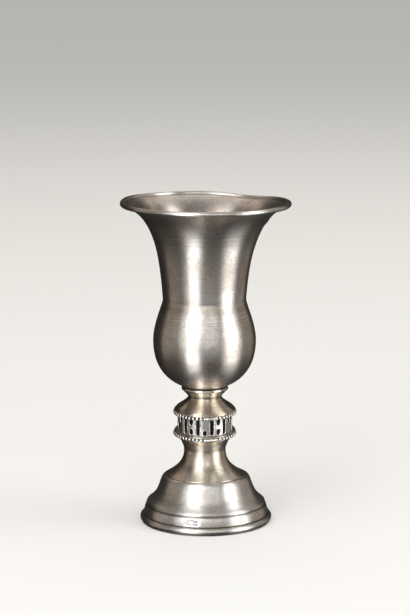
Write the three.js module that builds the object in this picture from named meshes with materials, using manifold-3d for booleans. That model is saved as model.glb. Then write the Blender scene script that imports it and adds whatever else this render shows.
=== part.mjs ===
// Kiddush cup: a stemmed silver cup with a bell-shaped bowl and a beaded, inscribed knop.
// Eight spun, cast and drawn pieces stand on each other and share flat seats:
// foot, stem, inscription band between two rings of beaded wire, neck, collar and bowl.
// Millimetres, +Z up, origin at the centre of the circle that the foot stands on.

import * as THREE from 'three';
import { mergeVertices } from 'three/addons/utils/BufferGeometryUtils.js';
import Module from 'manifold-3d';

const wasm = await Module();
wasm.setup();

// ---- driving dimensions -------------------------------------------------------------------

const CUP_HEIGHT = 135;
const SHEET = 0.7; // wall of the spun pieces

// Flat seats, from the table upwards
const FOOT_TOP_Z = 19.5;
const PLATE_TOP_Z = 38.95;
const BAND_TOP_Z = 47.4;
const NECK_TOP_Z = 53;
const BOWL_SEAT_Z = 56.55;

// Bowl
const SEAT_R = 4.5;
const BELLY_R = 21.4;
const BELLY_Z = 77;
const WAIST_R = 17.35;
const WAIST_Z = 94.7;
const LIP_BEAD_R = 1; // radius of the rolled edge's own section
const LIP_CENTRE_R = 34.4;
const LIP_SLOPE = THREE.MathUtils.degToRad(18); // rise of the sheet where it meets the rolled edge
const LIP_DIP = 1.2; // the lip is bent down at the right of the back
const LIP_DIP_AT = THREE.MathUtils.degToRad(56);
const LIP_LIFT = 0.5; // and up a little at the far left
const LIP_LIFT_AT = THREE.MathUtils.degToRad(160);
const LIP_WARP_WIDTH = THREE.MathUtils.degToRad(24);
const LIP_WARP_FROM_Z = 118;

// Knop: a drum between two plates, with a ring of beaded wire under each plate's edge
const DRUM_R = 11.35;
const DRUM_WALL = 1.35;
const PLATE_R = 13;
const PLATE_THICKNESS = 0.55;
const BEADS = 48;
const BEAD_R = 0.8;
const BEAD_NIP_R = 0.48; // radius of the wire between two beads
const BEAD_RING_R = 12.5;

// Strokes cut into the drum
const STROKE_DEPTH = 0.5;
const STROKE_WIDTH = 1.6;
const STROKE_TALL = 6.6;
const STROKE_SHORT = 2.5;
const STROKE_SLOTS = 24;

// Stem, neck and foot
const STEM_R = 8.7;
const STEM_EDGE_R = 16.4;
const STEM_TOP_R = 11.65;
const NECK_R = 7;
const COLLAR_R = 9.8;
const COLLAR_EDGE_R = 0.7; // radius of the dish's rounded edge
const FOOT_R = 27.6;
const FOOT_BORE_R = 8.6;

// The pieces between foot and lip were soldered a little left of the axis
const KNOP_DRIFT = -0.4;
const BOWL_DRIFT = -0.55;

// and the knop leans to the front. Each pair is where the lean starts and where it is whole.
const KNOP_LEAN = THREE.MathUtils.degToRad(3.5);
const LEAN_BELOW = [26, 34];
const LEAN_ABOVE = [52.4, 48.5];

const ROUND = 32; // facets round the bowl and the foot
const ROUND_SMALL = 28; // and round the pieces between them

// ---- outlines and solids --------------------------------------------------------------------

// Outlines are lists of [radius, height].
function curve(start, handle1, handle2, end, steps) {
  const v = (p) => new THREE.Vector2(p[0], p[1]);
  const bezier = new THREE.CubicBezierCurve(v(start), v(handle1), v(handle2), v(end));
  return bezier.getPoints(steps).map((p) => [p.x, p.y]);
}

function arc(centre, radius, from, to, steps) {
  return Array.from({ length: steps + 1 }, (_, i) => {
    const angle = THREE.MathUtils.degToRad(from + ((to - from) * i) / steps);
    return [centre[0] + radius * Math.cos(angle), centre[1] + radius * Math.sin(angle)];
  });
}

// The same line, one wall thickness to the left of its direction of travel
function inset(points, wall) {
  return points.map((p, i) => {
    const before = points[Math.max(i - 1, 0)];
    const after = points[Math.min(i + 1, points.length - 1)];
    const along = new THREE.Vector2(after[0] - before[0], after[1] - before[1]).normalize();
    return [p[0] - wall * along.y, p[1] + wall * along.x];
  });
}

// Turns an outline about Z. It runs anticlockwise, from the axis back to it or round a ring.
function spin(points, facets, closed = false) {
  const outline = closed ? [...points, points[0]] : points;
  const profile = outline.map(([r, z]) => new THREE.Vector2(Math.max(r, 0), z));
  return new THREE.LatheGeometry(profile, facets).rotateX(Math.PI / 2);
}

function silver(colour, roughness) {
  return new THREE.MeshStandardMaterial({ color: colour, roughness, metalness: 1 });
}

function piece(name, geometry, colour, roughness, drift = 0) {
  const mesh = new THREE.Mesh(geometry, silver(colour, roughness));
  mesh.name = name;
  mesh.position.x = drift;
  return mesh;
}

function toSolid(geometry) {
  const plain = geometry.clone();
  plain.deleteAttribute('normal');
  plain.deleteAttribute('uv');
  const merged = mergeVertices(plain, 1e-5);
  return new wasm.Manifold(new wasm.Mesh({
    numProp: 3,
    vertProperties: new Float32Array(merged.attributes.position.array),
    triVerts: new Uint32Array(merged.index.array),
  }));
}

function toGeometry(solid) {
  const mesh = solid.getMesh();
  const geometry = new THREE.BufferGeometry();
  geometry.setAttribute('position', new THREE.BufferAttribute(mesh.vertProperties, 3));
  geometry.setIndex(new THREE.BufferAttribute(mesh.triVerts, 1));
  return geometry;
}

// Lowers the front of the knop and raises its back, fading out along the stem and the neck
function leanKnop(geometry) {
  const position = geometry.attributes.position;
  for (let i = 0; i < position.count; i++) {
    const z = position.getZ(i);
    const rise = THREE.MathUtils.smoothstep(z, ...LEAN_BELOW);
    const fall = THREE.MathUtils.smoothstep(-z, -LEAN_ABOVE[0], -LEAN_ABOVE[1]);
    position.setZ(i, z + position.getY(i) * Math.tan(KNOP_LEAN) * rise * fall);
  }
  return geometry;
}

// ---- foot -----------------------------------------------------------------------------------

// A rolled base edge, a slightly swelling band between two grooves, a ledge and a concave dome
function makeFoot() {
  const outside = [
    ...arc([FOOT_R - 1.3, 1.7], 1.3, -60, 70, 4),
    [25.75, 3.15],
    [25.95, 3.5],
    [25.75, 5.2],
    [25.3, 6.9],
    [24.8, 7.3],
    ...arc([24.1, 8], 0.8, -20, 40, 1),
    ...curve([24.4, 8.8], [20.5, 11.4], [20, 14.4], [18.7, 17.9], 5),
    [17.9, FOOT_TOP_Z - 0.4],
    [17.2, FOOT_TOP_Z],
  ];
  const inside = [
    [FOOT_BORE_R, FOOT_TOP_Z],
    [FOOT_BORE_R, FOOT_TOP_Z - SHEET],
    [16.8, FOOT_TOP_Z - SHEET],
    ...curve([17.4, 17.6], [19, 14.2], [19.9, 11.2], [23.4, 7.9], 3),
    [24.4, 6.4],
    [24.9, 3],
    [24.9, 0],
  ];
  return spin([[26.8, 0], ...outside, ...inside], ROUND, true);
}

// ---- stem -----------------------------------------------------------------------------------

function makeStem() {
  const outside = [
    [STEM_EDGE_R - 0.15, FOOT_TOP_Z],
    [STEM_EDGE_R, FOOT_TOP_Z + 0.25],
    ...curve([STEM_EDGE_R - 0.1, FOOT_TOP_Z + 0.5], [11.5, 23], [STEM_R, 25.3], [STEM_R, 30.5], 6),
    [9.1, 32.2],
    [9.9, 34.4],
    [STEM_TOP_R, 36.4],
    [STEM_TOP_R, PLATE_TOP_Z - PLATE_THICKNESS],
    [PLATE_R, PLATE_TOP_Z - PLATE_THICKNESS],
    [PLATE_R, PLATE_TOP_Z],
  ];
  const bore = STEM_R - SHEET;
  const inside = [
    [bore + 0.2, PLATE_TOP_Z],
    ...curve([bore, 31], [bore, 24.9], [10.6, 22.3], [15, FOOT_TOP_Z], 5),
  ];
  return leanKnop(spin([...outside, ...inside], ROUND_SMALL, true));
}

// ---- knop -----------------------------------------------------------------------------------

// Beaded wire: a closed ring whose round section swells and shrinks once per bead
function makeBeadWire(centreZ) {
  const sides = 4;
  const steps = BEADS * 2;
  const positions = [];
  const index = [];
  for (let i = 0; i < steps; i++) {
    const turn = (2 * Math.PI * i) / steps;
    const thick = i % 2 === 0 ? BEAD_R : BEAD_NIP_R;
    for (let j = 0; j < sides; j++) {
      const angle = (2 * Math.PI * j) / sides;
      const r = BEAD_RING_R + thick * Math.cos(angle);
      positions.push(r * Math.cos(turn), r * Math.sin(turn), centreZ + thick * Math.sin(angle));
      const here = i * sides + j;
      const up = i * sides + ((j + 1) % sides);
      const next = ((i + 1) % steps) * sides + j;
      const nextUp = ((i + 1) % steps) * sides + ((j + 1) % sides);
      index.push(here, next, nextUp, here, nextUp, up);
    }
  }
  const geometry = new THREE.BufferGeometry();
  geometry.setAttribute('position', new THREE.Float32BufferAttribute(positions, 3));
  geometry.setIndex(index);
  return leanKnop(geometry);
}

// A stroke is a bar with pointed ends, wider at its head.
function makeStroke({ turn, height, length }) {
  const head = STROKE_WIDTH / 2;
  const tail = head * 0.8;
  const half = length / 2;
  const point = 0.4;
  const shape = new THREE.Shape([
    [0, -half], [tail, -half + point], [head, half - point],
    [0, half], [-head, half - point], [-tail, -half + point],
  ].map(([x, y]) => new THREE.Vector2(x, y)));
  const bar = new THREE.ExtrudeGeometry(shape, { depth: 2 * STROKE_DEPTH, bevelEnabled: false });
  bar.rotateX(Math.PI / 2).translate(0, STROKE_DEPTH - DRUM_R, height);
  return bar.rotateZ(turn);
}

// The row: dots, tall bars, high short bars and pairs of short ones, three times round the drum
function strokeRow() {
  const middle = (PLATE_TOP_Z + BAND_TOP_Z) / 2 - 0.65;
  const reach = (STROKE_TALL - STROKE_SHORT) / 2;
  const dot = [{ height: middle - STROKE_TALL / 2 + 0.95, length: 1.9 }];
  const tall = [{ height: middle, length: STROKE_TALL }];
  const high = [{ height: middle + reach, length: STROKE_SHORT }];
  const pair = [...high, { height: middle - reach, length: STROKE_SHORT }];
  const row = [dot, tall, pair, tall, high, tall, pair, tall];
  return Array.from({ length: STROKE_SLOTS }, (_, slot) => {
    const turn = (2 * Math.PI * slot) / STROKE_SLOTS;
    return row[slot % row.length].map((stroke) => ({ turn, ...stroke }));
  }).flat();
}

function makeBand() {
  const tube = spin([
    [DRUM_R, PLATE_TOP_Z],
    [DRUM_R, BAND_TOP_Z],
    [DRUM_R - DRUM_WALL, BAND_TOP_Z],
    [DRUM_R - DRUM_WALL, PLATE_TOP_Z],
  ], STROKE_SLOTS * 2, true);
  let drum = toSolid(tube);
  for (const stroke of strokeRow()) {
    drum = drum.subtract(toSolid(makeStroke(stroke)));
  }
  return leanKnop(toGeometry(drum));
}

// ---- neck and collar ------------------------------------------------------------------------

function makeNeck() {
  const flare = curve([PLATE_R, BAND_TOP_Z + PLATE_THICKNESS], [11.9, 49.2], [NECK_R + 0.4, 51.4],
    [NECK_R, NECK_TOP_Z], 6);
  const bore = NECK_R - SHEET;
  const inside = [
    [bore, NECK_TOP_Z],
    [bore, 51.6],
    [8.4, 49.6],
    [11.2, BAND_TOP_Z],
  ];
  return leanKnop(spin([[PLATE_R, BAND_TOP_Z], ...flare, ...inside], ROUND_SMALL, true));
}

// A short tube that opens into a dish with a rounded edge; the bowl stands on its floor
function makeCollar() {
  const bore = NECK_R - SHEET;
  return spin([
    [0, BOWL_SEAT_Z - 1.3],
    [bore - 0.4, BOWL_SEAT_Z - 1.9],
    [bore - 0.4, NECK_TOP_Z],
    [NECK_R, NECK_TOP_Z],
    [NECK_R + 0.3, 53.8],
    [8.1, 54.6],
    ...arc([COLLAR_R - COLLAR_EDGE_R, BOWL_SEAT_Z], COLLAR_EDGE_R, -80, 110, 4),
    [7.3, BOWL_SEAT_Z + 0.25],
    [SEAT_R + 0.6, BOWL_SEAT_Z],
    [0, BOWL_SEAT_Z],
  ], ROUND_SMALL);
}

// ---- bowl -----------------------------------------------------------------------------------

// Bends the lip down over one short stretch and up over another, both walls together
function warpLip(geometry) {
  const position = geometry.attributes.position;
  const bump = (angle, centre) => {
    const off = Math.atan2(Math.sin(angle - centre), Math.cos(angle - centre));
    return Math.exp(-((off / LIP_WARP_WIDTH) ** 2));
  };
  for (let i = 0; i < position.count; i++) {
    const z = position.getZ(i);
    const angle = Math.atan2(position.getY(i), position.getX(i));
    const grip = THREE.MathUtils.smoothstep(z, LIP_WARP_FROM_Z, CUP_HEIGHT);
    const shift = LIP_LIFT * bump(angle, LIP_LIFT_AT) - LIP_DIP * bump(angle, LIP_DIP_AT);
    position.setZ(i, z + grip * shift);
  }
  return geometry;
}

// Pushes the bowl sideways below the lip, most at the belly, so that the lip stays on the axis
function driftBowl(geometry) {
  const position = geometry.attributes.position;
  for (let i = 0; i < position.count; i++) {
    const back = THREE.MathUtils.smoothstep(position.getZ(i), WAIST_Z, CUP_HEIGHT);
    position.setX(i, position.getX(i) + BOWL_DRIFT * (1 - back));
  }
  return geometry;
}

function makeBowl() {
  const lipZ = CUP_HEIGHT - LIP_BEAD_R;
  const lipEnd = [LIP_CENTRE_R - 0.63 * LIP_BEAD_R, lipZ - 0.78 * LIP_BEAD_R];
  const handle = 12;
  const throatHandle = [
    lipEnd[0] - handle * Math.cos(LIP_SLOPE),
    lipEnd[1] - handle * Math.sin(LIP_SLOPE),
  ];
  const outside = [
    ...curve([SEAT_R, BOWL_SEAT_Z], [11.5, 57.7], [BELLY_R, 62.05], [BELLY_R, BELLY_Z], 6),
    ...curve([BELLY_R, BELLY_Z], [BELLY_R, 84.2], [WAIST_R - 0.5, 93], [WAIST_R, WAIST_Z], 4).slice(1),
    ...curve([WAIST_R, WAIST_Z], [WAIST_R + 1.3, 114.1], throatHandle, lipEnd, 7).slice(1),
  ];
  const lip = arc([LIP_CENTRE_R, lipZ], LIP_BEAD_R, -129, 186, 7).slice(1);
  const inside = inset(outside, SHEET).slice(1, -1).reverse();
  const floorZ = BOWL_SEAT_Z + SHEET;
  const outline = [[0, BOWL_SEAT_Z], ...outside, ...lip, ...inside, [SEAT_R, floorZ], [0, floorZ]];
  return driftBowl(warpLip(spin(outline, ROUND)));
}

// ---- cup ------------------------------------------------------------------------------------

const cup = new THREE.Group();
cup.add(
  piece('foot', makeFoot(), '#a9a49b', 0.34),
  piece('stem', makeStem(), '#aea698', 0.32, KNOP_DRIFT),
  piece('bead_wire_lower', makeBeadWire(PLATE_TOP_Z - PLATE_THICKNESS - BEAD_R), '#c9c5bd', 0.25,
    KNOP_DRIFT),
  piece('inscription_band', makeBand(), '#b5b1aa', 0.3, KNOP_DRIFT),
  piece('bead_wire_upper', makeBeadWire(BAND_TOP_Z - BEAD_R), '#c9c5bd', 0.25, KNOP_DRIFT),
  piece('neck', makeNeck(), '#b0a899', 0.32, KNOP_DRIFT),
  piece('bowl_collar', makeCollar(), '#b8b2a7', 0.28, KNOP_DRIFT),
  piece('bowl', makeBowl(), '#aba59b', 0.3),
);

export default cup;
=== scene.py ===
# %% [markdown]
# # A silver kiddush cup
# The real cup is eight pieces of silver soldered on one axis: a spun foot, a trumpet stem, a cast
# band with a row of cut strokes between two rings of beaded wire, a flared neck, a dished collar
# and a bell-shaped bowl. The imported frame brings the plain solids. Here each one gets a finer mesh
# and a finish, and the frame says how high and how wide each of them is.

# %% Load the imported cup
import math

import bmesh
import bpy
import numpy as np
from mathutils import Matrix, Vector, noise


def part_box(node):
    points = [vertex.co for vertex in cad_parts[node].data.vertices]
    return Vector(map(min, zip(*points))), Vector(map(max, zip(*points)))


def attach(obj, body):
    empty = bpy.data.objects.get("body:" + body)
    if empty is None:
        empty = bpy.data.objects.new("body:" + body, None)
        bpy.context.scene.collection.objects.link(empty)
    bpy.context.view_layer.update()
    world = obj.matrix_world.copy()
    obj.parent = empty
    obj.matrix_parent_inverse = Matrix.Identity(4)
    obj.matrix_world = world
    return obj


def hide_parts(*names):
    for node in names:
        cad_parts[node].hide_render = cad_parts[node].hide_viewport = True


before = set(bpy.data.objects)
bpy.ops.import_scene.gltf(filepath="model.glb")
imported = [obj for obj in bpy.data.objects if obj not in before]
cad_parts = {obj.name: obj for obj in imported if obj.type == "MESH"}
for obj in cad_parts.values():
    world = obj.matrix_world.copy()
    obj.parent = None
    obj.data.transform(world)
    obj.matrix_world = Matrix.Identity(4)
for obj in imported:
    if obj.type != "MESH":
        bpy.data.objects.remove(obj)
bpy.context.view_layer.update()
MM = 0.001  # profiles below are written in millimetres
print("pieces in the frame:", ", ".join(sorted(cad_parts)))

# %% [markdown]
# Every seat between two pieces is a flat ring, so the top of one solid is the bottom of the next.
# Reading those heights and radii from the frame keeps the fine meshes exactly where the solids are.
# The knop was soldered on with a lean of a few degrees, which comes off its heights here.

# %% Read heights, radii and axes from the frame
def low_z(node):
    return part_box(node)[0][2] / MM


def high_z(node):
    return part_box(node)[1][2] / MM


def half_width(node):
    low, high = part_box(node)
    return (high[0] - low[0]) / 2 / MM


def axis_x(node):
    low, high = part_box(node)
    return (high[0] + low[0]) / 2 / MM


KNOP_LEAN = math.radians(3.5)  # the knop leans to the front
DRUM_R = half_width("inscription_band")
LEAN_SHIFT = DRUM_R * math.tan(KNOP_LEAN)
FOOT_TOP = high_z("foot")
PLATE_TOP = low_z("inscription_band") + LEAN_SHIFT
BAND_TOP = high_z("inscription_band") - LEAN_SHIFT
NECK_TOP = high_z("neck")
SEAT = low_z("bowl")
FOOT_R = half_width("foot")
STEM_EDGE_R = half_width("stem")
PLATE_R = half_width("neck")
LIP_R = half_width("bowl")
KNOP_X = axis_x("neck")
SHEET = 0.7  # wall of the spun pieces
print(f"seats at {FOOT_TOP:.1f}, {PLATE_TOP:.2f}, {BAND_TOP:.1f}, {NECK_TOP:.1f} and {SEAT:.2f} mm")

# %% [markdown]
# The camera is a long lens almost a metre away, above the lip and tilted down, which keeps the
# cup's sides nearly parallel and shows the lip as a narrow ellipse and the foot as a rounder one.

# %% Place the camera
CAMERA_PLACE = (-0.33 * MM, -0.9, 0.253)
CAMERA_TILT = math.radians(10.232)
CAMERA_LENS = 129.05  # focal length in millimetres
SENSOR_WIDTH = 36
camera = bpy.data.objects.new("camera", bpy.data.cameras.new("camera"))
bpy.context.collection.objects.link(camera)
camera.location = CAMERA_PLACE
camera.rotation_euler = (math.pi / 2 - CAMERA_TILT, 0, 0)
camera.data.lens = CAMERA_LENS
camera.data.sensor_width = SENSOR_WIDTH
camera.data.clip_end = 50
bpy.context.scene.camera = camera

# %% [markdown]
# Spun silver is drawn as the smith's own template: half of the section, turned about the axis.
# A profile is a list of (radius, height). `bend` gives a smooth stretch, `roll` a round one, and
# `soften` rounds the corners that a file or a burnisher would have taken off.

# %% Draw profiles
def bend(start, handle_1, handle_2, end, steps=24):
    t = np.linspace(0, 1, steps + 1)[:, None]
    p = [np.array(q, float) for q in (start, handle_1, handle_2, end)]
    line = (1 - t) ** 3 * p[0] + 3 * (1 - t) ** 2 * t * p[1] + 3 * (1 - t) * t**2 * p[2] + t**3 * p[3]
    return [tuple(q) for q in line]


def roll(centre, radius, start, end, steps=16):
    angles = np.radians(np.linspace(start, end, steps + 1))
    return [(centre[0] + radius * math.cos(a), centre[1] + radius * math.sin(a)) for a in angles]


def soften(corners, steps=4, most=0.45):
    """Rounds the corners given as (radius, height, fillet), over at most this share of a side."""
    out = []
    for i, corner in enumerate(corners):
        here = Vector(corner[:2])
        before, after = Vector(corners[i - 1][:2]), Vector(corners[(i + 1) % len(corners)][:2])
        reach = corner[2] if len(corner) > 2 else 0
        if not reach:
            out.append(tuple(here))
            continue
        start = here + (before - here).normalized() * min(reach, (before - here).length * most)
        end = here + (after - here).normalized() * min(reach, (after - here).length * most)
        for k in range(steps + 1):
            t = k / steps
            out.append(tuple(start * (1 - t) ** 2 + here * 2 * t * (1 - t) + end * t**2))
    return out


def inset(profile, wall):
    """The same line, one wall thickness to the left of its direction of travel."""
    line = np.array(profile)
    along = np.gradient(line, axis=0)
    along /= np.linalg.norm(along, axis=1)[:, None]
    return [tuple(p) for p in line + wall * np.column_stack([-along[:, 1], along[:, 0]])]


def even_out(profile, spacing, closed):
    """Adds points on the long stretches, so that the mesh is fine enough for dents and relief."""
    ends = profile + [profile[0]] if closed else profile
    out = []
    for a, b in zip(ends, ends[1:]):
        parts = max(1, round(math.dist(a, b) / spacing))
        out += [(a[0] + (b[0] - a[0]) * k / parts, a[1] + (b[1] - a[1]) * k / parts) for k in range(parts)]
    return out if closed else out + [profile[-1]]


# %% [markdown]
# Turning is a grid: one column of the profile per angle, joined all the way round. Building it
# with plain numbers, not a Screw modifier, leaves every vertex free for dents, a bent lip or cut
# strokes before the mesh is made.

# %% Turn a profile into a mesh
def turn_grid(profile, columns):
    """Vertices in millimetres, profile point first and column second."""
    angles = np.asarray(columns if np.ndim(columns) else np.arange(columns) * 2 * math.pi / columns)
    line = np.array(profile)
    r, z = line[:, 0][:, None], line[:, 1][:, None]
    return np.stack([r * np.cos(angles), r * np.sin(angles), z + 0 * angles], axis=-1)


def grid_faces(rows, columns, closed):
    i = np.arange(rows if closed else rows - 1)[:, None]
    j = np.arange(columns)[None, :]
    up, right = (i + 1) % rows, (j + 1) % columns
    corners = [i * columns + j, i * columns + right, up * columns + right, up * columns + j]
    return np.stack([c.ravel() for c in np.broadcast_arrays(*corners)], axis=1).tolist()


def make_mesh(name, parts, x=0.0):
    """One object from several grids, each given as (vertices in millimetres, closed)."""
    points, faces = [], []
    for grid, closed in parts:
        rows, columns = grid.shape[:2]
        faces += [[v + len(points) for v in f] for f in grid_faces(rows, columns, closed)]
        points += ((grid.reshape(-1, 3) + [x, 0, 0]) * MM).tolist()
    mesh = bpy.data.meshes.new(name)
    mesh.from_pydata(points, [], faces)
    merge_poles(mesh)
    mesh.shade_smooth()
    piece = bpy.data.objects.new(name, mesh)
    bpy.context.collection.objects.link(piece)
    return piece


def merge_poles(mesh):
    work = bmesh.new()
    work.from_mesh(mesh)
    bmesh.ops.remove_doubles(work, verts=work.verts, dist=1e-8)
    bmesh.ops.recalc_face_normals(work, faces=work.faces)
    work.to_mesh(mesh)
    work.free()


# %% [markdown]
# Spun sheet is never quite true. A slow noise pushes both faces of the wall in and out together by
# a few hundredths of a millimetre, and the long highlights then waver as they do on worn silver.

# %% Make the walls slightly uneven
def waver(grid, depth, wavelength, seed):
    points = grid.reshape(-1, 3)
    across = np.linalg.norm(points[:, :2], axis=1)
    place = Vector((seed * 17.3, seed * 5.1, 0))
    push = np.array([noise.noise(Vector(p) / wavelength + place) for p in points]) * depth
    push *= np.clip(across / 3, 0, 1)
    out = points.copy()
    out[:, :2] *= (1 + push / np.maximum(across, 1e-6))[:, None]
    return out.reshape(grid.shape)


# %% [markdown]
# The knop leans to the front: its front was soldered lower than its back. The lean fades out along
# the stem below and the neck above, so the pieces that touch all bend by the same rule.

# %% Lean the knop
def smooth_step(value, low, high):
    t = np.clip((value - low) / (high - low), 0, 1)
    return t * t * (3 - 2 * t)


LEAN_SETS_IN = (26, 34)  # heights on the stem
LEAN_ENDS = (52.4, 48.5)  # heights on the neck


def lean_knop(grid):
    out = grid.copy()
    grip = smooth_step(grid[..., 2], *LEAN_SETS_IN) * smooth_step(grid[..., 2], *LEAN_ENDS)
    out[..., 2] += grid[..., 1] * math.tan(KNOP_LEAN) * grip
    return out


# %% [markdown]
# ## Foot
# The foot is one spun sheet: a rolled edge to stand on, a swelling band between two grooves, a
# ledge and a concave dome up to the stem. The underside follows the same line, roughly one wall
# further in.
# The band carries a worn oval punch mark, so the columns of the mesh stand closer together there.

# %% Spin the foot
MARK_AT = math.radians(-102.5)
MARK_HALF_ANGLE = math.radians(12)
foot_outside = soften([
    (26.8, 0),
    *roll((FOOT_R - 1.3, 1.7), 1.3, -66, 66, 16),
    (25.72, 3.12, 0.2),
    (25.98, 3.45, 0.2),
    *bend((25.98, 3.6), (25.95, 4.8), (25.7, 5.9), (25.3, 6.9), 12),
    (24.8, 7.25, 0.2),
    *roll((24.05, 8), 0.8, -25, 48, 8),
    *bend((24.4, 8.8), (20.5, 11.4), (20, 14.4), (18.7, 17.9), 26),
    (17.95, FOOT_TOP - 0.3, 0.6),
    (17.2, FOOT_TOP),
])
foot_inside = soften([
    (8.6, FOOT_TOP),
    (8.6, FOOT_TOP - SHEET),
    (16.8, FOOT_TOP - SHEET, 0.8),
    *bend((17.4, 17.6), (19, 14.2), (19.9, 11.2), (23.4, 7.9), 20),
    (24.4, 6.4, 0.5),
    (24.9, 3, 0.5),
    (24.9, 0),
])
foot_profile = even_out(foot_outside + foot_inside, 0.4, closed=True)
plain_columns = np.linspace(0, 2 * math.pi, 220, endpoint=False)
mark_columns = np.linspace(MARK_AT - MARK_HALF_ANGLE, MARK_AT + MARK_HALF_ANGLE, 120) % (2 * math.pi)
off_mark = np.abs((plain_columns - MARK_AT + math.pi) % (2 * math.pi) - math.pi) > MARK_HALF_ANGLE
foot_columns = np.sort(np.concatenate([plain_columns[off_mark], mark_columns]))
foot_grid = waver(turn_grid(foot_profile, foot_columns), 0.06, 9, seed=1)
print("foot profile:", len(foot_profile), "points,", len(foot_columns), "columns")

# %% [markdown]
# Two marks of work are pressed into the foot's mesh. One is the assay punch: an oval dent with
# worn lumps in it that can't be read any more, and a ring of small dots round it. The other is the
# solder that crept out under the stem, uneven all the way round, with one blob near the front.

# %% Punch the mark and run the solder
MARK_Z = 5.1
MARK_WIDE, MARK_HIGH = 3.7, 1.55  # half of the oval each way
MARK_LUMPS = 0.3
MARK_FLOOR = 0.1
MARK_DOTS = 0.08
MARK_RIM = 0.06
BAND_FACE_R = 25.2  # only the outer face of the foot's band lies further out
SOLDER_OUT, SOLDER_WIDE = 0.25, 0.35
BLOB_AT = math.radians(-83)
BLOB_HALF = math.radians(2.2)
BLOB_TALL = 0.3


def punch_mark(grid):
    angle = np.arctan2(grid[..., 1], grid[..., 0])
    across = np.hypot(grid[..., 0], grid[..., 1])
    u = ((angle - MARK_AT + math.pi) % (2 * math.pi) - math.pi) * FOOT_R / MARK_WIDE
    v = (grid[..., 2] - MARK_Z) / MARK_HIGH
    oval = np.hypot(u, v)
    lumps = np.sin(7 * u + 2 * np.sin(3 * v)) * np.cos(4.2 * v + 1.5 * np.sin(5 * u + 1))
    dots = np.cos(np.arctan2(v, u) * 14) * np.exp(-((oval - 1.2) / 0.1) ** 2)
    press = MARK_LUMPS * lumps * smooth_step(oval, 0.95, 0.75) - MARK_FLOOR * smooth_step(oval, 1.02, 0.9)
    press += MARK_DOTS * np.maximum(dots, 0) + MARK_RIM * np.exp(-((oval - 1) / 0.06) ** 2)
    push = press * (across > BAND_FACE_R) * (oval < 1.6)
    out = grid.copy()
    out[..., :2] *= (1 + push / np.maximum(across, 1))[..., None]
    return out


def run_solder(grid):
    angle = np.arctan2(grid[..., 1], grid[..., 0])
    across = np.hypot(grid[..., 0], grid[..., 1])
    on_seam = np.exp(-(((across - STEM_EDGE_R - SOLDER_OUT) / SOLDER_WIDE) ** 2))
    on_seam = on_seam * (grid[..., 2] > FOOT_TOP - 0.3)
    creep = 0.12 + 0.08 * np.sin(5 * angle + 1) + 0.06 * np.sin(13 * angle) + 0.05 * np.sin(31 * angle + 2)
    blob = BLOB_TALL * np.exp(-(((angle - BLOB_AT) / BLOB_HALF) ** 2))
    out = grid.copy()
    out[..., 2] += on_seam * (np.maximum(creep, 0) + blob)
    return out


foot_grid = run_solder(punch_mark(foot_grid))
foot = make_mesh("foot_spun", [(foot_grid, True)])
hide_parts("foot")
print("foot:", len(foot.data.vertices), "vertices, rolled edge", round(2 * FOOT_R, 1), "mm across")

# %% [markdown]
# ## Stem
# The stem is a trumpet: a thin flared edge on the foot, with a small nick at its left end, a narrow
# waist, a small flange for the lower bead wire and the flat plate that carries the band.

# %% Spin the stem
STEM_WAIST_R = 8.7
PLATE_THICK = 0.55
NICK_Y = -3.1
NICK_R = 0.7
NICK_DEEP = 0.25
stem_profile = soften([
    (STEM_EDGE_R - 0.1, FOOT_TOP),
    (STEM_EDGE_R, FOOT_TOP + 0.12, 0.1),
    (STEM_EDGE_R - 0.02, FOOT_TOP + 0.42, 0.15),
    *bend((STEM_EDGE_R - 0.3, FOOT_TOP + 0.6), (11.5, 23), (STEM_WAIST_R, 25.3), (STEM_WAIST_R, 30.5), 36),
    *bend((STEM_WAIST_R, 30.8), (STEM_WAIST_R, 31.6), (9.5, 33.2), (9.9, 34.4), 8),
    (11.62, 36.4, 0.3),
    (11.62, PLATE_TOP - PLATE_THICK, 0.1),
    (PLATE_R - 0.2, PLATE_TOP - PLATE_THICK, 0.15),
    (PLATE_R - 0.2, PLATE_TOP - 0.1, 0.2),
    (12.4, PLATE_TOP, 0.2),
    (8.2, PLATE_TOP, 0.2),
    *bend((8, 31), (8, 24.9), (10.6, 22.3), (15, FOOT_TOP), 24),
])
stem_grid = waver(turn_grid(even_out(stem_profile, 0.4, closed=True), 200), 0.04, 8, seed=2)
nick = np.hypot(stem_grid[..., 0] + STEM_EDGE_R, (stem_grid[..., 1] - NICK_Y) * 1.5)
stem_grid[..., 2] -= NICK_DEEP * np.exp(-((nick / NICK_R) ** 2)) * (stem_grid[..., 2] > FOOT_TOP + 0.3)
stem_grid = lean_knop(stem_grid)
stem = make_mesh("stem_trumpet", [(stem_grid, True)], KNOP_X)
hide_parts("stem")
print("stem:", len(stem.data.vertices), "vertices")

# %% [markdown]
# ## Inscription band
# The band is a cast drum. Its outer wall is a fine grid in which each vertex asks how far it is
# from the nearest stroke: inside it sinks to a floor painted black as shade, and just outside it
# rises into the thin raised line that borders every stroke and is rubbed away in places. The
# strokes are plain bars and dots, which aren't meant as letters. Where two short bars stand one
# above the other, the bright metal between them can still look like one.

# %% Lay out the row of strokes
STROKE_DEPTH = 0.5
STROKE_WIDTH = 1.6
STROKE_TALL = 6.6
STROKE_SHORT = 2.5
STROKE_SLOTS = 24
STROKE_DROP = 0.65  # the row stands this far below the middle of the drum
STROKE_EDGE = 0.045
DOT_TALL = 1.9
BORDER_HEIGHT = 0.15
BORDER_OUT, BORDER_WIDE = 0.22, 0.12


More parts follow.
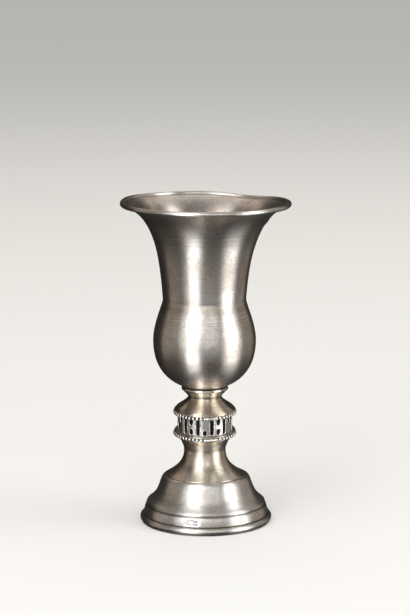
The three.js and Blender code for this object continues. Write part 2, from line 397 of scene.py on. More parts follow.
def stroke_row():
    middle = (PLATE_TOP + BAND_TOP) / 2 - STROKE_DROP
    reach = (STROKE_TALL - STROKE_SHORT) / 2
    dot = [(middle - STROKE_TALL / 2 + DOT_TALL / 2, DOT_TALL)]
    tall = [(middle, STROKE_TALL)]
    high = [(middle + reach, STROKE_SHORT)]
    pair = high + [(middle - reach, STROKE_SHORT)]
    row = [dot, tall, pair, tall, high, tall, pair, tall]
    for slot in range(STROKE_SLOTS):
        for height, length in row[slot % len(row)]:
            yield 2 * math.pi * slot / STROKE_SLOTS - math.pi / 2, height, length


def distance_to_strokes(angle, height):
    """Millimetres from the nearest stroke's edge, negative inside it."""
    nearest = np.full(angle.shape, 9.0)
    for turn, middle, length in stroke_row():
        u = ((angle - turn + math.pi) % (2 * math.pi) - math.pi) * DRUM_R
        v = height - middle
        half = STROKE_WIDTH / 2 * (0.92 + 0.1 * np.clip(v / (length / 2), -1, 1))
        reach = np.maximum(np.abs(v) - (length / 2 - half), 0)
        nearest = np.minimum(nearest, np.hypot(u, reach) - half)
    return nearest


def cut_strokes(grid):
    angle = np.arctan2(grid[..., 1], grid[..., 0])
    across = np.hypot(grid[..., 0], grid[..., 1])
    gap = distance_to_strokes(angle, grid[..., 2])
    sunk = 1 / (1 + np.exp(gap / STROKE_EDGE))
    worn = 0.55 + 0.3 * np.sin(7 * angle + 1.3 * grid[..., 2]) + 0.3 * np.sin(19 * angle - 2.1 * grid[..., 2])
    border = np.clip(worn, 0, 1) * np.exp(-((gap - BORDER_OUT) / BORDER_WIDE) ** 2)
    on_wall = np.clip((across - (DRUM_R - 0.05)) / 0.04, 0, 1)
    push = on_wall * (BORDER_HEIGHT * border - STROKE_DEPTH * sunk)
    out = grid.copy()
    out[..., :2] *= (1 + push / across)[..., None]
    return out


# %% Cast the band
DRUM_WALL = 1.35
drum_profile = soften([
    (DRUM_R, PLATE_TOP),
    (DRUM_R, BAND_TOP),
    (DRUM_R - DRUM_WALL, BAND_TOP),
    (DRUM_R - DRUM_WALL, PLATE_TOP),
])
wall = [(DRUM_R, z) for z in np.linspace(PLATE_TOP, BAND_TOP, 72)]
drum_grid = cut_strokes(turn_grid(wall + even_out(drum_profile[2:], 1, closed=False), 620))
band = make_mesh("band_with_strokes", [(lean_knop(drum_grid), True)], KNOP_X)
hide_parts("inscription_band")
print("band:", len(band.data.vertices), "vertices,", len(list(stroke_row())), "strokes")

# %% [markdown]
# ## Beaded wire
# Beaded wire is round wire rolled between dies until it swells into touching beads. Here it is one
# closed ring whose section radius follows the outline of a bead. On the upper ring the ends of the
# wire were soldered at the front, and the seam filled about two beads; on the lower ring the same
# place was filed down to finer ribs.

# %% Roll the bead wires
BEADS = 48
BEAD_R = 0.8
BEAD_RING_R = 12.5
BEAD_NIP_R = 0.2
BEAD_STEPS = 14
BEAD_SIDES = 16
BEAD_SPREAD = 0.025  # share by which the beads differ in size
RIB_DEEP = 0.3
RIBS_PER_BEAD = 1.9
SEAM_AT = math.radians(11)  # round the ring, counted from the front
SEAM_HALF = math.radians(8)


def bead_section(turn, seam):
    """Radius of the wire at one place on the ring, in millimetres."""
    pitch = 2 * math.pi / BEADS
    beside = (turn / pitch + 0.5) % 1 - 0.5
    along = beside * pitch * BEAD_RING_R
    round_bead = math.sqrt(max(BEAD_R**2 - along**2, BEAD_NIP_R**2))
    from_front = (turn + math.pi / 2 + math.pi) % (2 * math.pi) - math.pi
    ease = 1 / (1 + math.exp((abs(from_front - SEAM_AT) - SEAM_HALF) * 60))
    ribs = BEAD_R - 0.08 - RIB_DEEP * (1 - abs(math.sin(math.pi * turn / pitch * RIBS_PER_BEAD)))
    filled = BEAD_R - 0.07 - 0.05 * abs(2 * beside)
    return (1 - ease) * round_bead + ease * (ribs if seam == "ribbed" else filled)


def make_bead_wire(name, node, seam, seed):
    middle = (low_z(node) + high_z(node)) / 2
    turns = np.linspace(0, 2 * math.pi, BEADS * BEAD_STEPS, endpoint=False)
    sides = np.linspace(0, 2 * math.pi, BEAD_SIDES, endpoint=False)
    steady = np.random.default_rng(seed)
    size = steady.normal(1, BEAD_SPREAD, BEADS)
    section = [bead_section(t, seam) * size[round(t / (2 * math.pi) * BEADS) % BEADS] for t in turns]
    section = np.minimum(section, BEAD_R)[None, :]
    r = BEAD_RING_R + section * np.cos(sides)[:, None]
    z = middle + section * np.sin(sides)[:, None]
    grid = np.stack([r * np.cos(turns), r * np.sin(turns), z], axis=-1)
    wire = make_mesh(name, [(lean_knop(grid), True)], KNOP_X)
    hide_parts(node)
    print(name + ":", len(wire.data.vertices), "vertices")
    return wire


wire_lower = make_bead_wire("beads_lower", "bead_wire_lower", "ribbed", seed=5)
wire_upper = make_bead_wire("beads_upper", "bead_wire_upper", "filled", seed=6)

# %% [markdown]
# ## Neck and collar
# The neck flares down from a short tube to a thin edge over the upper beads. The collar is a
# dished washer with its own short tube; the bowl stands in the dish, and a dark gap stays open
# between the dish's rounded edge and the bowl.

# %% Spin the neck
NECK_R = 7
neck_profile = soften([
    (PLATE_R - 0.3, BAND_TOP),
    (PLATE_R - 0.2, BAND_TOP + 0.1, 0.1),
    (PLATE_R - 0.2, BAND_TOP + 0.35, 0.15),
    *bend((PLATE_R - 0.4, BAND_TOP + 0.5), (11.9, 49.2), (NECK_R + 0.4, 51.4), (NECK_R, NECK_TOP), 30),
    (NECK_R - SHEET, NECK_TOP),
    (NECK_R - SHEET, 51.6, 0.8),
    (8.4, 49.6, 0.8),
    (11.2, BAND_TOP),
])
neck_grid = waver(turn_grid(even_out(neck_profile, 0.35, closed=True), 180), 0.04, 6, seed=3)
neck_grid = lean_knop(neck_grid)
neck = make_mesh("neck_flare", [(neck_grid, True)], KNOP_X)
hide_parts("neck")
print("neck:", len(neck.data.vertices), "vertices")

# %% Turn the collar
COLLAR_R = half_width("bowl_collar")
EDGE_R = 0.68
collar_profile = soften([
    (0, SEAT - 1.3),
    (NECK_R - SHEET - 0.4, SEAT - 1.9),
    (NECK_R - SHEET - 0.4, NECK_TOP),
    (NECK_R - 0.12, NECK_TOP, 0.08),
    (NECK_R + 0.02, NECK_TOP + 0.15, 0.1),
    (NECK_R + 0.3, 53.8, 0.4),
    (8.1, 54.6, 0.4),
    *roll((COLLAR_R - EDGE_R, SEAT), EDGE_R, -75, 115, 16),
    (7.3, SEAT + 0.25),
    (5.1, SEAT),
    (0, SEAT),
])
collar_grid = turn_grid(even_out(collar_profile, 0.3, closed=False), 160)
collar = make_mesh("collar_dish", [(collar_grid, False)], KNOP_X)
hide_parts("bowl_collar")
print("collar:", len(collar.data.vertices), "vertices")

# %% [markdown]
# ## Bowl
# The bowl is spun from one disc: a round belly, a waist, and a throat that opens into a wide lip
# with a rolled edge. The lip was bent in use, down at the back on the right and up a little at the
# far left, and the belly stands a hair to one side. Both are moves of whole stretches of the wall.
# A small dent sits under the lip on the right.

# %% Spin the bowl
BELLY_R, BELLY_Z = 21.4, 77
WAIST_R, WAIST_Z = 17.35, 94.7
CUP_HEIGHT = 135
LIP_BEAD_R = 1
LIP_SLOPE = math.radians(18)
BOWL_X = -0.55
SEAT_R = 4.5
LIP_BENDS_ABOVE = 118
DENT_Y, DENT_Z = -4, 127.2
DENT_R = 1.2
DENT_DEEP = 0.5


def bowl_outline():
    lip_centre = (LIP_R - LIP_BEAD_R, CUP_HEIGHT - LIP_BEAD_R)
    lip_end = (lip_centre[0] - 0.63 * LIP_BEAD_R, lip_centre[1] - 0.78 * LIP_BEAD_R)
    handle = (lip_end[0] - 12 * math.cos(LIP_SLOPE), lip_end[1] - 12 * math.sin(LIP_SLOPE))
    outside = [
        *bend((SEAT_R, SEAT), (11.5, 57.7), (BELLY_R, 62.05), (BELLY_R, BELLY_Z), 40),
        *bend((BELLY_R, BELLY_Z), (BELLY_R, 84.2), (WAIST_R - 0.5, 93), (WAIST_R, WAIST_Z), 26)[1:],
        *bend((WAIST_R, WAIST_Z), (WAIST_R + 1.3, 114.1), handle, lip_end, 50)[1:],
    ]
    lip = roll(lip_centre, LIP_BEAD_R, -129, 186, 22)[1:]
    inside = inset(outside, SHEET)[1:-1][::-1]
    return [(0, SEAT), *outside, *lip, *inside, (SEAT_R, SEAT + SHEET), (0, SEAT + SHEET)]


def bend_lip(grid, at, lift, width=math.radians(24)):
    angle = np.arctan2(grid[..., 1], grid[..., 0])
    off = (angle - at + math.pi) % (2 * math.pi) - math.pi
    out = grid.copy()
    high_up = smooth_step(grid[..., 2], LIP_BENDS_ABOVE, CUP_HEIGHT)
    out[..., 2] += lift * np.exp(-((off / width) ** 2)) * high_up
    return out


def dent_throat(grid):
    away = np.hypot(grid[..., 1] - DENT_Y, grid[..., 2] - DENT_Z)
    right_side = (grid[..., 0] > 22) & (grid[..., 2] > LIP_BENDS_ABOVE)
    out = grid.copy()
    out[..., 2] -= DENT_DEEP * np.exp(-((away / DENT_R) ** 2)) * right_side
    return out


bowl_grid = waver(turn_grid(even_out(bowl_outline(), 1, closed=False), 256), 0.09, 14, seed=4)
bowl_grid = bend_lip(bowl_grid, at=math.radians(56), lift=-1.2)
bowl_grid = bend_lip(bowl_grid, at=math.radians(160), lift=0.5)
bowl_grid = dent_throat(bowl_grid)
bowl_grid[..., 0] += BOWL_X * (1 - smooth_step(bowl_grid[..., 2], WAIST_Z, CUP_HEIGHT))
bowl = make_mesh("bowl_spun", [(bowl_grid, False)])
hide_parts("bowl")
print("bowl:", len(bowl.data.vertices), "vertices, lip", round(2 * LIP_R, 1), "mm across")

for piece in (foot, stem, band, wire_lower, wire_upper, neck, collar, bowl):
    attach(piece, "root")


# %% [markdown]
# ## Finishes
# Every finish is polished-then-worn silver, so they share their effects: turning lines from the
# lathe, blotches of tarnish, stain rings, dark specks, fine scratches, and darkening in the hollows,
# partly dirt and partly painted shade, with bright edges beside it. Some of the dark rings, in the
# grooves of the foot and at the joints, are painted shade too. Each effect is a node group that is
# built once; each silver has its own values.

# %% Helpers for wiring nodes
def add(tree, kind, settings=None, **values):
    """Adds one shader node. Values name its inputs, with _ for a space, or _0, _1 for a number."""
    made = tree.nodes.new("ShaderNode" + kind)
    for key, value in (settings or {}).items():
        setattr(made, key, value)
    for key, value in values.items():
        socket = made.inputs[int(key[1:])] if key[1:].isdigit() else made.inputs[key.replace("_", " ")]
        if isinstance(value, bpy.types.NodeSocket):
            tree.links.new(value, socket)
        else:
            socket.default_value = value
    return made


def calc(tree, operation, *values):
    numbered = {f"_{i}": value for i, value in enumerate(values)}
    return add(tree, "Math", {"operation": operation}, **numbered).outputs[0]


def ramp(tree, value, low, high):
    """0 below low, 1 above high and smooth between; low may be above high."""
    made = add(tree, "MapRange", {"interpolation_type": "SMOOTHSTEP"}, Value=value)
    made.inputs["From Min"].default_value, made.inputs["From Max"].default_value = low, high
    return made.outputs["Result"]


def new_group(name, takes, gives):
    tree = bpy.data.node_groups.new(name, "ShaderNodeTree")
    for label, default in takes.items():
        kind = "NodeSocketColor" if isinstance(default, tuple) else "NodeSocketFloat"
        tree.interface.new_socket(label, in_out="INPUT", socket_type=kind).default_value = default
    for label, kind in gives.items():
        tree.interface.new_socket(label, in_out="OUTPUT", socket_type="NodeSocket" + kind)
    return tree, tree.nodes.new("NodeGroupInput").outputs, tree.nodes.new("NodeGroupOutput").inputs


def use(tree, group, **values):
    made = tree.nodes.new("ShaderNodeGroup")
    made.node_tree = group
    for key, value in values.items():
        socket = made.inputs[key.replace("_", " ")]
        if isinstance(value, bpy.types.NodeSocket):
            tree.links.new(value, socket)
        else:
            socket.default_value = value
    return made.outputs


# %% [markdown]
# The first group turns a point on the cup into millimetres: its height, its distance from the
# axis, and the point itself. All the patterns are sized in millimetres after that.

# %% Group: place on the cup
def make_place_group():
    gives_out = {"Point": "Vector", "Height": "Float", "Radius": "Float"}
    tree, _, gives = new_group("place on the cup", {}, gives_out)
    point = add(tree, "TexCoord").outputs["Object"]
    large = add(tree, "VectorMath", {"operation": "SCALE"}, Vector=point, Scale=1000.0).outputs[0]
    split = add(tree, "SeparateXYZ", Vector=large).outputs
    across = calc(tree, "SQRT", calc(tree, "ADD", calc(tree, "POWER", split[0], 2.0),
                                     calc(tree, "POWER", split[1], 2.0)))
    tree.links.new(large, gives["Point"])
    tree.links.new(split[2], gives["Height"])
    tree.links.new(across, gives["Radius"])
    return tree


PLACE = make_place_group()

# %% [markdown]
# A spinning tool leaves fine rings that follow the turning, so the lines depend on height and
# radius alone, with a slight wander. They come out in patches, where the polish spared them.

# %% Group: turning lines
def make_turning_group():
    takes = {"Spacing": 0.25, "Patch Size": 9.0}
    tree, wants, gives = new_group("turning lines", takes, {"Height": "Float", "Mask": "Float"})
    place = use(tree, PLACE)
    wander = add(tree, "TexNoise", Vector=place["Point"], Scale=0.05, Detail=1.0).outputs["Fac"]
    along = calc(tree, "MULTIPLY_ADD", place["Radius"], 0.6, place["Height"])
    along = calc(tree, "ADD", along, calc(tree, "MULTIPLY", wander, 0.8))
    turns = calc(tree, "DIVIDE", along, wants["Spacing"])
    fine = add(tree, "TexNoise", {"noise_dimensions": "1D"}, W=turns, Scale=1.0, Detail=3.0).outputs["Fac"]
    patch_scale = calc(tree, "DIVIDE", 1.0, wants["Patch Size"])
    patch = add(tree, "TexNoise", Vector=place["Point"], Scale=patch_scale, Detail=3.0).outputs["Fac"]
    mask = calc(tree, "MULTIPLY", ramp(tree, fine, 0.42, 0.7), ramp(tree, patch, 0.42, 0.62))
    tree.links.new(fine, gives["Height"])
    tree.links.new(mask, gives["Mask"])
    return tree


TURNING = make_turning_group()

# %% [markdown]
# Tarnish is a thin sulphide film. It starts as a yellow-brown bloom in soft blotches with finer
# mottling inside them, and it dulls the polish where it lies.

# %% Group: tarnish
def make_tarnish_group():
    takes = {"Blotch Size": 14.0, "Amount": 0.5, "Clean": (0.9, 0.86, 0.8, 1), "Stained": (0.6, 0.5, 0.4, 1)}
    tree, wants, gives = new_group("tarnish", takes, {"Colour": "Color", "Mask": "Float"})
    place = use(tree, PLACE)
    scale = calc(tree, "DIVIDE", 1.0, wants["Blotch Size"])
    broad = add(tree, "TexNoise", Vector=place["Point"], Scale=scale, Detail=5.0, Roughness=0.62,
                Distortion=0.4).outputs["Fac"]
    fine = add(tree, "TexNoise", Vector=place["Point"], Scale=0.9, Detail=4.0).outputs["Fac"]
    mixed = calc(tree, "MULTIPLY_ADD", fine, 0.35, calc(tree, "MULTIPLY", broad, 0.65))
    mask = calc(tree, "MULTIPLY", ramp(tree, mixed, 0.38, 0.62), wants["Amount"])
    colour = add(tree, "Mix", {"data_type": "RGBA"}, Factor=mask)
    tree.links.new(wants["Clean"], colour.inputs["A"])
    tree.links.new(wants["Stained"], colour.inputs["B"])
    tree.links.new(colour.outputs["Result"], gives["Colour"])
    tree.links.new(mask, gives["Mask"])
    return tree


TARNISH = make_tarnish_group()

# %% [markdown]
# Where a hand or a cloth doesn't reach, a stain settles as a ring at one height: under the lip, at
# the waist and on the belly. The same ring in a near-black tint is painted shade in the grooves of
# the foot and at the joints between pieces. Its edge is ragged.

# %% Group: stain ring, also used for painted shade
def make_stain_and_shade_group():
    takes = {"At Height": 0.0, "Spread": 2.0, "Ragged": 1.5}
    tree, wants, gives = new_group("stain ring", takes, {"Mask": "Float"})
    place = use(tree, PLACE)
    edge = add(tree, "TexNoise", Vector=place["Point"], Scale=0.16, Detail=4.0).outputs["Fac"]
    shift = calc(tree, "MULTIPLY", calc(tree, "SUBTRACT", edge, 0.5), wants["Ragged"])
    off = calc(tree, "SUBTRACT", calc(tree, "ADD", place["Height"], shift), wants["At Height"])
    steps = calc(tree, "DIVIDE", off, wants["Spread"])
    fall = calc(tree, "EXPONENT", calc(tree, "MULTIPLY", calc(tree, "POWER", steps, 2.0), -1.0))
    tree.links.new(fall, gives["Mask"])
    return tree


STAIN_AND_SHADE = make_stain_and_shade_group()

# %% [markdown]
# Old silver is peppered with tiny dark specks, where corrosion started in a pit. They crowd
# together in some places and leave others clean.

# %% Group: specks
def make_speck_group():
    takes = {"Size": 0.55}
    tree, wants, gives = new_group("specks", takes, {"Mask": "Float"})
    place = use(tree, PLACE)
    scale = calc(tree, "DIVIDE", 1.0, wants["Size"])
    fine = add(tree, "TexNoise", Vector=place["Point"], Scale=scale, Detail=2.0).outputs["Fac"]
    crowd = add(tree, "TexNoise", Vector=place["Point"], Scale=0.14, Detail=2.0).outputs["Fac"]
    mask = calc(tree, "MULTIPLY", ramp(tree, fine, 0.56, 0.68), ramp(tree, crowd, 0.42, 0.6))
    tree.links.new(mask, gives["Mask"])
    return tree


SPECKS = make_speck_group()

# %% [markdown]
# Scratches are thin curved hairs in all directions. The zero line of a noise is a thin curve, so
# two stretched noises give two families of hairs, and a third noise breaks them into short marks.

# %% Group: scratches
def make_scratch_group():
    takes = {"Length": 5.0, "Thickness": 0.012}
    tree, wants, gives = new_group("scratches", takes, {"Mask": "Float"})
    place = use(tree, PLACE)
    marks = []
    for tilt, seed in ((0.5, 3.0), (-0.9, 8.0)):
        turned = add(tree, "Mapping", Vector=place["Point"], Rotation=(tilt, tilt * 0.7, 0.3),
                     Location=(seed, 0, 0), Scale=(1, 1, 0.12)).outputs[0]
        scale = calc(tree, "DIVIDE", 3.0, wants["Length"])
        hair = add(tree, "TexNoise", Vector=turned, Scale=scale, Detail=1.0).outputs["Fac"]
        off = calc(tree, "ABSOLUTE", calc(tree, "SUBTRACT", hair, 0.5))
        thin = calc(tree, "SUBTRACT", 1.0, calc(tree, "DIVIDE", off, wants["Thickness"]))
        short = add(tree, "TexNoise", Vector=place["Point"], Scale=0.25 + seed * 0.02,
                    Detail=2.0).outputs["Fac"]
        marks.append(calc(tree, "MULTIPLY", calc(tree, "MAXIMUM", thin, 0.0), ramp(tree, short, 0.5, 0.66)))
    tree.links.new(calc(tree, "MAXIMUM", *marks), gives["Mask"])
    return tree


SCRATCHES = make_scratch_group()

# %% [markdown]
# Concave places are darkened, partly as dirt and partly as painted shade, and rubbing brightens
# convex ones. Cycles measures how sharply the mesh bends at a point as pointiness, 0.5 where it is
# flat; both masks are read from it.

# %% Group: hollows and edges
def make_relief_group():
    takes = {"Sharpness": 12.0}
    tree, wants, gives = new_group("hollows and edges", takes, {"Hollow": "Float", "Edge": "Float"})
    bend_of = calc(tree, "SUBTRACT", add(tree, "NewGeometry").outputs["Pointiness"], 0.5)
    steep = calc(tree, "MULTIPLY", bend_of, wants["Sharpness"])
    clear = {"use_clamp": True}
    hollow_dirt_and_shade = add(tree, "Math", {"operation": "MULTIPLY", **clear}, _0=steep, _1=-1.0).outputs[0]
    edge = add(tree, "Math", {"operation": "MULTIPLY", **clear}, _0=steep, _1=1.0).outputs[0]
    tree.links.new(hollow_dirt_and_shade, gives["Hollow"])
    tree.links.new(edge, gives["Edge"])
    return tree


RELIEF = make_relief_group()
print("finish groups:", ", ".join(g.name for g in bpy.data.node_groups))

# %% [markdown]
# One recipe makes all the silvers. The colour starts from tarnish, is stained in rings (some of
# them painted shade), along the turning lines and in specks, is darkened in hollows by dirt and
# painted shade, and is lifted on edges. Tarnish and turning lines are duller, rubbed edges are
# smoother. The lines and scratches bump the surface by a few microns. They are too fine to see one
# by one, so the shader is also told that the finish is brushed round the axis: a highlight is drawn
# out along the height and stays narrow across it.

# %% The silver recipe
BROWN = (0.42, 0.33, 0.25)
# This near-black tints the specks as dirt, and the rings in grooves and at joints and the bead hollows as
# painted shade.
DIRT_AND_SHADE = (0.15, 0.12, 0.09)
RUBBED = (0.97, 0.95, 0.92)
RUBBED_SHARE = 0.6
DULL_ROUGHER = 0.10
LINES_ROUGHER = 0.06
EDGES_ROUGHER = -0.08


def new_material(name):
    material = bpy.data.materials.new(name)
    material.use_nodes = True
    tree = material.node_tree
    shader = tree.nodes["Principled BSDF"]
    shader.inputs["Metallic"].default_value = 1
    return material, tree, shader


def blend_colour(tree, mask, colour, other):
    mixed = add(tree, "Mix", {"data_type": "RGBA"}, Factor=mask)
    tree.links.new(colour, mixed.inputs["A"])
    mixed.inputs["B"].default_value = (*other, 1)
    return mixed.outputs["Result"]


def silver(name, clean, stained, amount, blotch, roughness, rings=(), spacing=0.25, line_depth=0.004,
           sharpness=12.0, hollow_dirt_and_shade=(0.10, 0.08, 0.06), scratch=0.5, brushed=0.7, streak=0.4, speckle=0.5):
    material, tree, shader = new_material(name)
    shader.inputs["Anisotropic"].default_value = brushed
    shader.inputs["Anisotropic Rotation"].default_value = 0.25
    round_axis = add(tree, "Tangent", {"direction_type": "RADIAL", "axis": "Z"})
    tree.links.new(round_axis.outputs[0], shader.inputs["Tangent"])
    tarnish = use(tree, TARNISH, Blotch_Size=blotch, Amount=amount, Clean=(*clean, 1), Stained=(*stained, 1))
    lines = use(tree, TURNING, Spacing=spacing)
    relief = use(tree, RELIEF, Sharpness=sharpness)
    hairs = use(tree, SCRATCHES)
    colour, dull = tarnish["Colour"], tarnish["Mask"]
    for height, spread, ragged, strength, tint in rings:
        ring = use(tree, STAIN_AND_SHADE, At_Height=height, Spread=spread, Ragged=ragged)["Mask"]
        ring = calc(tree, "MULTIPLY", ring, strength)
        colour = blend_colour(tree, ring, colour, tint)
        dull = calc(tree, "MAXIMUM", dull, ring)
    colour = blend_colour(tree, calc(tree, "MULTIPLY", lines["Mask"], streak), colour, BROWN)
    specks = use(tree, SPECKS)["Mask"]
    colour = blend_colour(tree, calc(tree, "MULTIPLY", specks, speckle), colour, DIRT_AND_SHADE)
    # Hollows are darkened here: partly dirt, partly painted shade.
    colour = blend_colour(tree, relief["Hollow"], colour, hollow_dirt_and_shade)
    colour = blend_colour(tree, calc(tree, "MULTIPLY", relief["Edge"], RUBBED_SHARE), colour, RUBBED)
    tree.links.new(colour, shader.inputs["Base Color"])
    rough = calc(tree, "MULTIPLY_ADD", dull, DULL_ROUGHER, roughness)
    rough = calc(tree, "MULTIPLY_ADD", lines["Mask"], LINES_ROUGHER, rough)
    rough = calc(tree, "MULTIPLY_ADD", relief["Edge"], EDGES_ROUGHER, rough)
    tree.links.new(rough, shader.inputs["Roughness"])
    height = calc(tree, "MULTIPLY_ADD", hairs["Mask"], -scratch, lines["Height"])
    bump = add(tree, "Bump", Strength=1.0, Distance=line_depth * MM, Height=height)
    tree.links.new(bump.outputs["Normal"], shader.inputs["Normal"])
    return material


def paint_over(tree, shader, mask, tint):
    """Lays one more colour over those that the shader already has."""
    below = shader.inputs["Base Color"].links[0].from_socket
    tree.links.new(blend_colour(tree, mask, below, tint), shader.inputs["Base Color"])


def open_up(material):
    return material.node_tree, material.node_tree.nodes["Principled BSDF"]


def finish(piece, material):
    piece.data.materials.clear()
    piece.data.materials.append(material)


# The near-black ring at 57 mm is painted shade at the bowl's seat, over the collar's dish edge.
finish(bowl, silver(
    "satin bowl silver", clean=(0.90, 0.872, 0.83), stained=(0.62, 0.53, 0.45), amount=0.75, blotch=14,
    roughness=0.31, rings=[
        (91.8, 1.7, 3, 0.5, BROWN), (70, 2.2, 4, 0.4, BROWN), (129, 2.5, 4, 0.35, BROWN),
        (119.2, 0.18, 0.3, 0.5, BROWN), (120.3, 0.12, 0.3, 0.45, BROWN), (121.1, 0.14, 0.3, 0.5, BROWN),
        (123, 0.2, 0.3, 0.5, BROWN), (57, 0.45, 0.3, 0.9, DIRT_AND_SHADE)],
    line_depth=0.007, streak=0.8))
# The near-black rings in the foot's two grooves and at the stem's seat are painted shade.
foot_silver = silver(
    "foot silver", clean=(0.91, 0.89, 0.85), stained=(0.66, 0.60, 0.54), amount=0.7, blotch=9, roughness=0.33,
    rings=[(7.2, 0.24, 0.3, 0.85, DIRT_AND_SHADE), (3.12, 0.24, 0.3, 0.85, DIRT_AND_SHADE), (19.7, 0.15, 0.4, 0.6, DIRT_AND_SHADE)],
    sharpness=20, hollow_dirt_and_shade=(0.05, 0.04, 0.03), scratch=0.9)
finish(foot, foot_silver)
# The near-black rings on the stem, at the foot and under the band's plate, are painted shade.
finish(stem, silver(
    "warm stem silver", clean=(0.88, 0.82, 0.73), stained=(0.64, 0.53, 0.41), amount=0.8, blotch=8,
    roughness=0.30, rings=[(19.6, 0.18, 0.3, 0.85, DIRT_AND_SHADE), (38.3, 0.4, 0.4, 0.7, DIRT_AND_SHADE)]))
# The near-black ring at the top of the neck is painted shade under the collar.
finish(neck, silver(
    "warm neck silver", clean=(0.88, 0.80, 0.68), stained=(0.60, 0.49, 0.36), amount=0.8, blotch=7,
    roughness=0.25, rings=[(52.85, 0.2, 0.3, 0.7, DIRT_AND_SHADE)]))
# The near-black ring low on the collar is painted shade where it meets the neck.
finish(collar, silver(
    "collar silver", clean=(0.92, 0.88, 0.81), stained=(0.66, 0.57, 0.46), amount=0.6, blotch=6,
    roughness=0.24, rings=[(53.3, 0.4, 0.3, 0.7, DIRT_AND_SHADE)]))

# %% [markdown]
# Inside the oval of the punch mark the silver is painted near white, partly as wear where its raised
# lumps catch the polishing cloth and partly as a painted highlight, except where the mesh is hollow.

# %% The punch mark's oval, rubbed and painted bright
MARK_HIGHLIGHT_WHITE = (0.98, 0.97, 0.95)


def paint_mark_highlight(material):
    tree, shader = open_up(material)
    place = use(tree, PLACE)
    split = add(tree, "SeparateXYZ", Vector=place["Point"]).outputs
    turn = calc(tree, "SUBTRACT", calc(tree, "ARCTAN2", split[1], split[0]), MARK_AT)
    u = calc(tree, "MULTIPLY", turn, FOOT_R / MARK_WIDE)
    v = calc(tree, "DIVIDE", calc(tree, "SUBTRACT", split[2], MARK_Z), MARK_HIGH)
    oval = calc(tree, "SQRT", calc(tree, "ADD", calc(tree, "MULTIPLY", u, u), calc(tree, "MULTIPLY", v, v)))
    pits = use(tree, RELIEF, Sharpness=16.0)["Hollow"]
    clean = calc(tree, "MULTIPLY", ramp(tree, oval, 1.12, 0.85), calc(tree, "SUBTRACT", 1.0, pits))
    # The oval is painted near white: rubbed wear and a painted highlight.
    paint_over(tree, shader, clean, MARK_HIGHLIGHT_WHITE)


paint_mark_highlight(foot_silver)

# %% [markdown]
# The gaps between the beads are painted black, as painted shade where each bead hides its
# neighbour. A bead's gap is found from its angle round the ring: the cosine of 48 times the angle is
# 1 on a bead and -1 between two beads.

# %% The beads' gaps in painted shade
GAP_SHADE_BLACK = (0.05, 0.04, 0.03)


def bead_finish():
    material = silver("rubbed bead silver", clean=(0.95, 0.93, 0.89), stained=(0.74, 0.68, 0.60), amount=0.5,
                      blotch=5, roughness=0.26, sharpness=6, hollow_dirt_and_shade=DIRT_AND_SHADE, line_depth=0.002, brushed=0)
    tree, shader = open_up(material)
    place = use(tree, PLACE)
    split = add(tree, "SeparateXYZ", Vector=place["Point"]).outputs
    turn = calc(tree, "ARCTAN2", split[1], calc(tree, "SUBTRACT", split[0], KNOP_X))
    wave = calc(tree, "COSINE", calc(tree, "MULTIPLY", turn, float(BEADS)))
    from_seam = calc(tree, "ABSOLUTE", calc(tree, "ADD", turn, math.pi / 2 - SEAM_AT))
    off_seam = ramp(tree, from_seam, SEAM_HALF, SEAM_HALF + 0.03)
    gap = calc(tree, "MULTIPLY", ramp(tree, wave, 0.0, -0.85), off_seam)
    # The gaps are painted near black as shade between the beads.
    paint_over(tree, shader, gap, GAP_SHADE_BLACK)
    return material


bead_silver = bead_finish()
finish(wire_lower, bead_silver)
finish(wire_upper, bead_silver)

# %% [markdown]
# The floors of the strokes are painted near black, as painted shade for the dark inside the cut
# strokes, and only the faces of the drum stay bright. The black is a mask on the distance from the
# axis: everything that lies deeper than the drum's face is painted black, rougher and less metallic.

# %% The band's painted shade in the strokes
STROKE_SHADE_BLACK = (0.012, 0.009, 0.007)


def band_silver():
    material = silver("band silver", clean=(0.92, 0.90, 0.86), stained=(0.62, 0.58, 0.52), amount=0.6,
                      blotch=4, roughness=0.28, sharpness=10, hollow_dirt_and_shade=(0.2, 0.17, 0.14))
    tree, shader = open_up(material)
    place = use(tree, PLACE)
    centred = add(tree, "VectorMath", {"operation": "SUBTRACT"}, _0=place["Point"],
                  _1=(KNOP_X, 0, 0)).outputs[0]
    level = add(tree, "VectorMath", {"operation": "MULTIPLY"}, _0=centred, _1=(1, 1, 0)).outputs[0]
    across = add(tree, "VectorMath", {"operation": "LENGTH"}, _0=level).outputs["Value"]
    stroke_shade = ramp(tree, across, DRUM_R - 0.06, DRUM_R - 0.16)
    # The stroke floors are painted near black: painted shade in the cut strokes.
    paint_over(tree, shader, stroke_shade, STROKE_SHADE_BLACK)
    smooth = shader.inputs["Roughness"].links[0].from_socket
    tree.links.new(calc(tree, "MULTIPLY_ADD", stroke_shade, 0.4, smooth), shader.inputs["Roughness"])
    tree.links.new(calc(tree, "SUBTRACT", 1.0, calc(tree, "MULTIPLY", stroke_shade, 0.3)), shader.inputs["Metallic"])
    return material


finish(band, band_silver())

# %% [markdown]
# ## Studio
# The cup stands on a plain pale floor before a plain pale background. Silver shows whatever
# surrounds it, and this silver is to look as it does in a dark room. So the floor is hidden from
# reflections, and the background is pale to the camera but dark to reflections. The floor casts no
# shadow either, because two of the panels shine up through it.

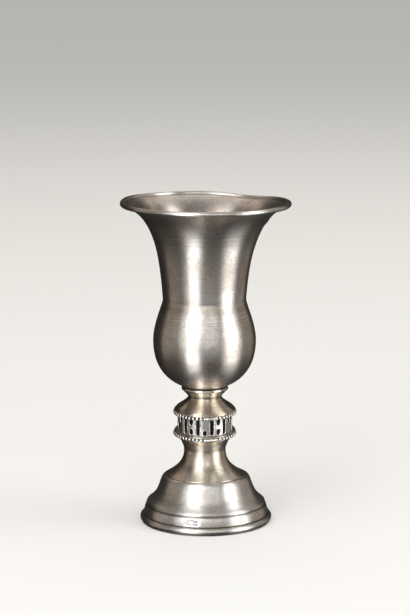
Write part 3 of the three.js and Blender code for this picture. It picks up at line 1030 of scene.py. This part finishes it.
# %% Floor and surroundings
floor_mesh = bpy.data.meshes.new("floor")
FLOOR_HALF = 14
floor_mesh.from_pydata([(x, y, 0) for x, y in ((-FLOOR_HALF, -FLOOR_HALF), (FLOOR_HALF, -FLOOR_HALF),
                                              (FLOOR_HALF, FLOOR_HALF), (-FLOOR_HALF, FLOOR_HALF))],
                       [], [(0, 1, 2, 3)])
floor = bpy.data.objects.new("floor", floor_mesh)
bpy.context.collection.objects.link(floor)
floor.visible_glossy = False
floor.visible_shadow = False
floor_paint, _, floor_shader = new_material("pale floor")
floor_shader.inputs["Metallic"].default_value = 0
floor_shader.inputs["Base Color"].default_value = (0.72, 0.71, 0.69, 1)
floor_shader.inputs["Roughness"].default_value = 1
floor_shader.inputs["Specular IOR Level"].default_value = 0
floor_mesh.materials.append(floor_paint)

world = bpy.data.worlds.new("studio")
bpy.context.scene.world = world
world.use_nodes = True
sky = world.node_tree
pale, dark = sky.nodes["Background"], sky.nodes.new("ShaderNodeBackground")
pale.inputs["Color"].default_value = (0.80, 0.80, 0.79, 1)
pale.inputs["Strength"].default_value = 0.8
dark.inputs["Color"].default_value = (0.020, 0.019, 0.018, 1)
choose = sky.nodes.new("ShaderNodeMixShader")
sky.links.new(sky.nodes.new("ShaderNodeLightPath").outputs["Is Glossy Ray"], choose.inputs["Fac"])
sky.links.new(pale.outputs[0], choose.inputs[1])
sky.links.new(dark.outputs[0], choose.inputs[2])
sky.links.new(choose.outputs[0], sky.nodes["World Output"].inputs["Surface"])

# %% [markdown]
# Fifteen panels light the cup. A tall box on the left and one on the right draw the two upright
# highlights. Each has a wide, weak halo that softens its edge, and a small panel high above it for
# the rounded places. Two panels in front, one high and one low, fill the middle. Two under the floor
# stand where a dark polished table would mirror the boxes. Warm panels at both sides and behind tint
# the edges, and a weak one hangs overhead.

# %% Softboxes
WHITE = (1, 1, 1)
WARM = (1, 0.88, 0.77)
CUP_MIDDLE = Vector((0, 0, 0.07))


def softbox(name, azimuth, elevation, width, height, brightness, tint=WHITE, distance=1.6):
    """A panel that faces the cup. Azimuth 0 is at the camera, positive to its right; degrees, metres."""
    lamp = bpy.data.lights.new(name, "AREA")
    lamp.shape = "RECTANGLE"
    lamp.size, lamp.size_y = width, height
    lamp.energy = brightness * math.pi * width * height
    lamp.color = tint
    panel = bpy.data.objects.new(name, lamp)
    bpy.context.collection.objects.link(panel)
    a, e = math.radians(azimuth), math.radians(elevation)
    towards = Vector((math.sin(a) * math.cos(e), -math.cos(a) * math.cos(e), math.sin(e)))
    panel.location = CUP_MIDDLE + distance * towards
    panel.rotation_euler = (CUP_MIDDLE - panel.location).to_track_quat("-Z", "Y").to_euler()
    panel.visible_camera = False


softbox("left_box", -28, 22, 0.72, 1.45, 2.5)
softbox("left_halo", -34, 15, 1.5, 1.6, 0.9)
softbox("left_box_top", -46, 63, 0.7, 0.8, 1.9)
softbox("right_box", 64, 12, 0.75, 1.2, 2.3)
softbox("right_halo", 66, 10, 1.5, 1.5, 0.75)
softbox("right_box_top", 88, 50, 0.5, 0.6, 3.2)
softbox("front_high", 8, 36, 1.3, 0.55, 1.9)
softbox("front_low", 15, 5, 1.1, 0.7, 0.95)
softbox("left_mirrored", -29, -32, 0.75, 0.95, 2.3)
softbox("right_mirrored", 68, -24, 0.95, 0.95, 1.5)
softbox("left_side", -88, 8, 1.3, 1.8, 0.3, WARM)
softbox("right_side", 118, 8, 1.1, 1.8, 0.27, WARM)
softbox("behind_left", -155, 48, 1.1, 0.8, 0.6, WARM)
softbox("behind_right", 160, 48, 1.1, 0.8, 0.6, WARM)
softbox("overhead", 180, 78, 1.2, 0.9, 0.45)
print("panels:", len(bpy.data.lights))
bpy.context.scene.view_settings.view_transform = "Standard"
